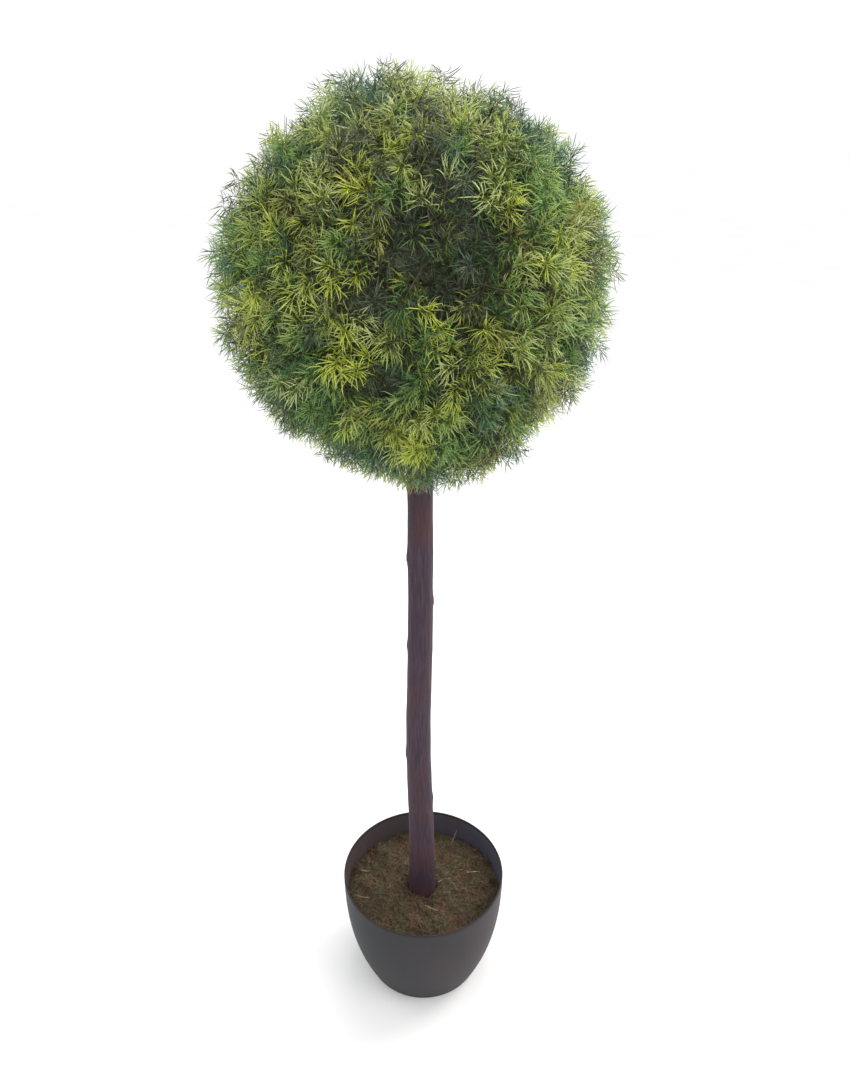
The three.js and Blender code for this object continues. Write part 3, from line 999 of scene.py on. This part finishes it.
# %% Growing the needles
OUTER_BURSTS = [  # mm back from the sprig's tip, from and to, needles, splay from and to in degrees
    (0, 2, 7, 8, 50), (1, 5, 8, 42, 84), (5, 12, 7, 42, 86), (12, 20, 6, 45, 88),
]
INNER_BURSTS = [(20, 27, 5, 45, 86), (28, 36, 4, 45, 86)]
NEEDLE_LENGTH = (13.0, 23.0)
NEEDLE_RADIUS = 0.38
NEEDLE_BEND = (0.6, 0.5)  # mean and spread, in radians
NEEDLE_DROOP = 0.3
NEEDLE_STEPS = (  # share of the length, of the bend and of the droop
    (0.34, 0.55, 0.0), (0.40, -0.1, 0.6), (0.26, -0.8, 1.2),
)
AROUND_JITTER = 0.45  # radians off an even ring of needles
HEADING_JITTER = 0.25


def burst_needles(rng, nearest, farthest, count, low, high):
    """Root, two knees and tip of each needle of one burst on every sprig, and the sprig's number."""
    sprig = np.repeat(np.arange(len(sprig_tip)), count)
    along = sprig_way[sprig]
    first, second = across(along)
    total = len(sprig)
    around = rng.uniform(0, TURN, len(sprig_tip))[sprig] + np.arange(total) % count * TURN / count
    around = around + rng.normal(0, AROUND_JITTER, total)
    side = np.cos(around)[:, None] * first + np.sin(around)[:, None] * second
    splay = np.radians(rng.uniform(low, high, total))
    bend = rng.normal(*NEEDLE_BEND, total)
    length = rng.uniform(*NEEDLE_LENGTH, total)
    stray = HEADING_JITTER * random_directions(rng, total)

    def heading(angle):
        return unit(np.cos(angle)[:, None] * along + np.sin(angle)[:, None] * side + stray)

    down = np.array([0.0, 0.0, -NEEDLE_DROOP])
    points = [sprig_tip[sprig] - rng.uniform(nearest, farthest, (total, 1)) * along]
    for share, turned, sink in NEEDLE_STEPS:
        step = unit(heading(splay + turned * bend) + sink * down)
        points.append(points[-1] + (share * length)[:, None] * step)
    return np.stack(points, axis=1), sprig


def grow(rng, bursts):
    """All needles of some bursts that stay in the ball's space and clear of the stem."""
    grown = [burst_needles(rng, *burst) for burst in bursts]
    paths, sprig = (np.concatenate(part) for part in zip(*grown))
    from_centre = paths[:, -1] - CROWN_CENTRE
    inside = np.linalg.norm(from_centre, axis=1) < crown_reach(unit(from_centre)) + STRAY_REACH
    keep = inside & clear_of_stem(paths, margin=1.0)
    return paths[keep], sprig[keep]


outer_needles, outer_sprig = grow(rng, OUTER_BURSTS)
inner_needles, inner_sprig = grow(rng, INNER_BURSTS)
print(len(outer_needles), "outer needles,", len(inner_needles), "inner needles")

# %% [markdown]
# ## Needle finish
# The needles are moulded polyethylene, coloured in the melt, with a soft waxy sheen. Near the root they
# are full-coloured, and further out they are paler, as if dusted. A sprig has one shade, so each shade is
# a piece of its own with two plain finishes, one for the root third and one for the rest. The inner
# needles are hardly seen, so they have the root's colour all along. Plain colours are right here for once:
# a pattern would be finer than a needle is wide.

# %% Needles, one piece for each shade
NEEDLE_ROUGHNESS = 0.48
NEEDLE_IOR = 1.51
MOST_TRIANGLES = 190000  # in one piece
OUTER_FACES = 12  # triangles of one outer needle
ROOT_FACES = 3  # those of them in its root third
INNER_FACES = 6


def shade_finishes(shade):
    root_hex, tip_hex = SHADES[shade]
    return [
        plain_finish(f"moulded polyethylene, {shade}, root", root_hex, NEEDLE_ROUGHNESS, NEEDLE_IOR),
        plain_finish(f"moulded polyethylene, {shade}, tip", tip_hex, NEEDLE_ROUGHNESS, NEEDLE_IOR),
    ]


def needle_meshes(outer, inner):
    """Outer needles have two knees, and inner ones, which are seen less, have one."""
    meshes = [
        strands(outer, tapered(rng, len(outer), NEEDLE_RADIUS, (1.0, 0.85)), pointed_root=True),
        strands(inner[:, [0, 2, 3]], tapered(rng, len(inner), NEEDLE_RADIUS, (1.2,)), pointed_root=True),
    ]
    points = np.concatenate([mesh[0] for mesh in meshes])
    triangles = np.concatenate([meshes[0][1], meshes[1][1] + len(meshes[0][0])])
    outer_tones = [0] * ROOT_FACES + [1] * (OUTER_FACES - ROOT_FACES)
    tones = [np.tile(outer_tones, len(outer)), np.zeros(INNER_FACES * len(inner), dtype=int)]
    return points, triangles, np.concatenate(tones)


needle_triangles = 0
for number, shade in enumerate(SHADE_NAMES):
    outer = outer_needles[sprig_shade[outer_sprig] == number]
    inner = inner_needles[sprig_shade[inner_sprig] == number]
    finishes = shade_finishes(shade)
    pieces = math.ceil((OUTER_FACES * len(outer) + INNER_FACES * len(inner)) / MOST_TRIANGLES)
    halves = zip(np.array_split(outer, pieces), np.array_split(inner, pieces))
    for part, (some_outer, some_inner) in enumerate(halves):
        points, triangles, tones = needle_meshes(some_outer, some_inner)
        name = f"needles_{shade.replace(' ', '_')}_{part + 1}"
        piece = make_piece(name, points, triangles, finishes, tones)
        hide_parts("foliage_ball")
        needle_triangles += len(triangles)
print(needle_triangles, "triangles in all the needles")

# %% [markdown]
# ## Stalks and the dark inside
# The stalks that carry the bursts are the same plastic, some in a brownish green and some in a greenish
# brown, dealt out stalk by stalk. Behind them all sits the ball that they plug into. It is hardly seen,
# but it closes the gaps, and its dark green is partly painted shade, which makes the crown look deep.

# %% Sprig stalks
STALK_COLOURS = {"brownish green": "#4c4a30", "greenish brown": "#483a29"}
STALK_RADIUS = 0.95
STALK_ROUGHNESS = 0.55
STALK_MIDDLE = 0.55  # how far up its middle point lies
STALK_STUB = 1.5  # how far it runs past its last burst

stalk_middle = lerp(sprig_foot, sprig_tip, STALK_MIDDLE)
stalk_paths = np.stack([sprig_foot, stalk_middle, sprig_tip + STALK_STUB * sprig_way], axis=1)
stalk_radii = tapered(rng, len(stalk_paths), STALK_RADIUS, (1.0, 0.85))
points, triangles, faces_each = strands(stalk_paths, stalk_radii)
stalk_finishes = [plain_finish(f"moulded polyethylene, {name}", value, STALK_ROUGHNESS, NEEDLE_IOR)
                  for name, value in STALK_COLOURS.items()]
stalk_slots = np.repeat(rng.integers(0, len(STALK_COLOURS), len(stalk_paths)), faces_each)
stalks = make_piece("sprig_stalks", points, triangles, stalk_finishes, stalk_slots)
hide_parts("foliage_ball")


# %% The ball that carries the sprigs
def core_plastic_painted_shade():
    material, tree = new_material("moulded polyethylene, dark green painted shade")
    place = add_node(tree, "ShaderNodeTexCoord").outputs["Object"]
    cloud = add_node(tree, "ShaderNodeTexNoise", {"Vector": place, "Scale": 1 / (12 * MM), "Detail": 5.0})
    # Partly painted shade: these dark greens are the colour of the shade deep between the sprigs.
    colour = add_node(tree, "ShaderNodeValToRGB", {"Fac": cloud.outputs["Fac"]},
                      stops=[(0.35, linear("#363e2e")), (0.55, linear("#444c39")), (0.75, linear("#51493b"))])
    rough = add_node(tree, "ShaderNodeMapRange", {
        "Value": cloud.outputs["Fac"], "To Min": 0.75, "To Max": 0.95,
    })
    bump = add_node(tree, "ShaderNodeBump", {
        "Height": cloud.outputs["Fac"], "Strength": 0.8, "Distance": 2 * MM,
    })
    shader = add_node(tree, "ShaderNodeBsdfPrincipled", {
        "Base Color": colour.outputs["Color"], "Roughness": rough.outputs["Result"],
        "Normal": bump.outputs["Normal"], "IOR": 1.51,
    })
    add_node(tree, "ShaderNodeOutputMaterial", {"Surface": shader.outputs["BSDF"]})
    return material


CORE_DEPTH = 54.0
CORE_LUMP = 4.0
CORE_LUMP_SIZE = 14.0
CORE_RINGS = 60
CORE_AROUND = 100
POLE_GAP = 0.01  # radians from each pole to the first ring


def core_rings():
    up = np.cos(np.linspace(math.pi - POLE_GAP, POLE_GAP, CORE_RINGS))[:, None] * np.ones(CORE_AROUND)
    ways = direction_at(up, np.arange(CORE_AROUND) * TURN / CORE_AROUND + 0 * up)
    lumps = CORE_LUMP * noise_at(ways * CROWN_RADIUS, CORE_LUMP_SIZE)
    reach = crown_reach(ways) - CORE_DEPTH + lumps
    return CROWN_CENTRE + ways * reach[..., None]


core = make_piece("ball_core", *skin(core_rings()), [core_plastic_painted_shade()])
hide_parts("foliage_ball")

# %% [markdown]
# ## Curled needles
# A few needles at the mouth of the ball, where the stem goes in, were bent in packing. They are tan and
# curl back on themselves. Each is an arc of a circle seen from the front, told by its middle, its radius
# and the angles that it runs between.

# %% Curled needles round the stem's top
CURLS = [  # middle x, y, z in millimetres, radius, from and to in degrees
    (5.5, -19.5, 779, 5.2, 60, 290), (2.5, -20.5, 783, 4.4, 20, 250), (-13.5, -16, 781, 4.6, 190, 350),
    (-16, -12, 786, 5.5, 150, 330), (12, -17, 785, 5.0, 200, 400),
]
CURL_POINTS = 8
CURL_RADIUS = 0.5
CURL_OPENING = 1.35  # how much wider a curl is at its tip
CURL_FORWARD = 3.0  # from its root to its tip


def curl_paths():
    paths = []
    for x, y, z, radius, start, stop in CURLS:
        turn = np.radians(np.linspace(start, stop, CURL_POINTS))
        opened = radius * np.linspace(1.0, CURL_OPENING, CURL_POINTS)
        forward = np.linspace(0, CURL_FORWARD, CURL_POINTS)
        paths.append(np.stack([x + opened * np.cos(turn), y - forward, z + opened * np.sin(turn)], axis=-1))
    return np.array(paths)


paths = curl_paths()
curl_taper = (1.0,) * (CURL_POINTS - 2) + (0.7,)
points, triangles, _ = strands(paths, tapered(rng, len(paths), CURL_RADIUS, curl_taper))
curls = make_piece("curled_needles", points, triangles,
                   [plain_finish("moulded polyethylene, tan", "#b09a6a", NEEDLE_ROUGHNESS, NEEDLE_IOR)])
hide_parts("foliage_ball")

# %% [markdown]
# ## Straws
# A few pale straws lie in the moss, and one stands up at the back against the wall. They are thicker and
# longer than the fibres and catch the light, so each is listed one by one: where it starts and ends, in
# millimetres from the pot's axis, and how high its tip stands. Dried straw is a smooth tube with a faint
# gloss, pale, and browner in spots about 6 mm long where it was bruised.

# %% Straw finish
def dried_straw():
    material, tree = new_material("dried straw")
    place = add_node(tree, "ShaderNodeTexCoord").outputs["Object"]
    bruise = add_node(tree, "ShaderNodeTexNoise", {"Vector": place, "Scale": 1 / (6 * MM), "Detail": 2.0})
    colour = add_node(tree, "ShaderNodeValToRGB", {"Fac": bruise.outputs["Fac"]},
                      stops=[(0.36, linear("#8a7358")), (0.52, linear("#b09c82")), (0.70, linear("#beab90"))])
    rough = add_node(tree, "ShaderNodeMapRange", {
        "Value": bruise.outputs["Fac"], "To Min": 0.8, "To Max": 0.6,
    })
    shader = add_node(tree, "ShaderNodeBsdfPrincipled", {
        "Base Color": colour.outputs["Color"], "Roughness": rough.outputs["Result"], "IOR": 1.45,
    })
    add_node(tree, "ShaderNodeOutputMaterial", {"Surface": shader.outputs["BSDF"]})
    return material


# %% Straws on the moss
STRAWS = [  # start x, y, end x, y, rise of the tip
    (43, 84, 53, 92, 22), (-98, 32, -79, 27, 3), (65, 23, 86, 28, 3), (2, -37, 26, -46, 2),
    (-98, -16, -76, -21, 2), (21, 4, 28, 9, 2),
]
STRAW_POINTS = 5
STRAW_RADIUS = 0.62
STRAW_LIFT = 2.6  # above the moss
STRAW_WAVE = 2.2
STRAW_WAVE_TURN = 1.3  # half turns of the wave in one straw
STRAW_FULL_LENGTH = 40.0  # of a straw that has the whole wave


def straw_paths():
    paths = []
    for x0, y0, x1, y1, rise in STRAWS:
        t = np.linspace(0, 1, STRAW_POINTS)
        x, y = lerp(x0, x1, t), lerp(y0, y1, t)
        wave = STRAW_WAVE * np.sin(t * math.pi * STRAW_WAVE_TURN + x0)
        x = x - wave * (y1 - y0) / STRAW_FULL_LENGTH
        y = y + wave * (x1 - x0) / STRAW_FULL_LENGTH
        paths.append(np.stack([x, y, moss_height(x, y) + STRAW_LIFT + rise * t ** 1.5], axis=-1))
    return np.array(paths)


paths = straw_paths()
points, triangles, _ = strands(paths, tapered(rng, len(paths), STRAW_RADIUS, (0.8, 1.0, 0.9, 0.6)))
straws = make_piece("moss_straws", points, triangles, [dried_straw()])
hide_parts("moss_filling")

# %% [markdown]
# ## Studio
# The plant stands on a plain pale floor under a white sky, which gives the soft, nearly shadowless light
# of a shop's catalogue. Four large lamps add a little shape: a weak one from the upper right in front, and
# three behind, which edge the ball with light. The camera stands 0.9 m in front of the stem, 1.15 m up,
# and looks down at 26 degrees.

# %% Floor, light and camera
def pale_floor():
    material, tree = new_material("matte white paint")
    place = add_node(tree, "ShaderNodeTexCoord").outputs["Object"]
    cloud = add_node(tree, "ShaderNodeTexNoise", {"Vector": place, "Scale": 1 / (350 * MM), "Detail": 2.0})
    colour = add_node(tree, "ShaderNodeValToRGB", {"Fac": cloud.outputs["Fac"]},
                      stops=[(0.3, grey(0.93)), (0.7, grey(0.95))])
    shader = add_node(tree, "ShaderNodeBsdfPrincipled", {
        "Base Color": colour.outputs["Color"], "Roughness": 0.9,
    })
    add_node(tree, "ShaderNodeOutputMaterial", {"Surface": shader.outputs["BSDF"]})
    return material


FLOOR_HALF = 60000.0
corners = np.array([(-1, -1, 0), (1, -1, 0), (1, 1, 0), (-1, 1, 0)]) * FLOOR_HALF
floor_mesh = bpy.data.meshes.new("floor")
floor_mesh.from_pydata([tuple(c * MM) for c in corners], [], [(0, 1, 2, 3)])
floor_mesh.materials.append(pale_floor())
floor = bpy.data.objects.new("floor", floor_mesh)
bpy.context.scene.collection.objects.link(floor)

world = bpy.data.worlds.new("white sky")
world.use_nodes = True
world.node_tree.nodes["Background"].inputs["Color"].default_value = (1.0, 1.0, 1.0, 1.0)
world.node_tree.nodes["Background"].inputs["Strength"].default_value = 1.06
bpy.context.scene.world = world
bpy.context.scene.view_settings.view_transform = "Standard"


def add_lamp(name, place, target, size, watts, colour):
    data = bpy.data.lights.new(name, "AREA")
    data.shape = "DISK"
    data.size = size
    data.energy = watts
    data.color = colour
    lamp = bpy.data.objects.new(name, data)
    lamp.location = place
    lamp.rotation_euler = (Vector(target) - Vector(place)).to_track_quat("-Z", "Y").to_euler()
    lamp.visible_camera = False
    bpy.context.scene.collection.objects.link(lamp)


add_lamp("soft key", (1.6, -1.0, 2.5), (0, 0, 0.8), 1.4, 14.0, (1.0, 0.98, 0.95))
add_lamp("right rim", (1.7, 1.0, 1.5), (0, 0, 0.95), 1.2, 30.0, (1.0, 0.98, 0.96))
add_lamp("left rim", (-1.7, 1.0, 1.3), (0, 0, 0.95), 1.2, 6.0, (0.96, 0.98, 1.0))
add_lamp("top rim", (0.1, 0.7, 2.6), (0, 0, 0.95), 1.0, 16.0, (1.0, 1.0, 1.0))

CAMERA_PLACE = (0.0023, -0.892, 1.149)
CAMERA_DOWN = 26.38  # degrees below level
CAMERA_LENS = 28.52
camera_data = bpy.data.cameras.new("camera")
camera_data.lens = CAMERA_LENS
camera_data.clip_start = 0.02
camera = bpy.data.objects.new("camera", camera_data)
camera.location = CAMERA_PLACE
camera.rotation_euler = (math.radians(90 - CAMERA_DOWN), 0.0, 0.0)
bpy.context.scene.collection.objects.link(camera)
bpy.context.scene.camera = camera
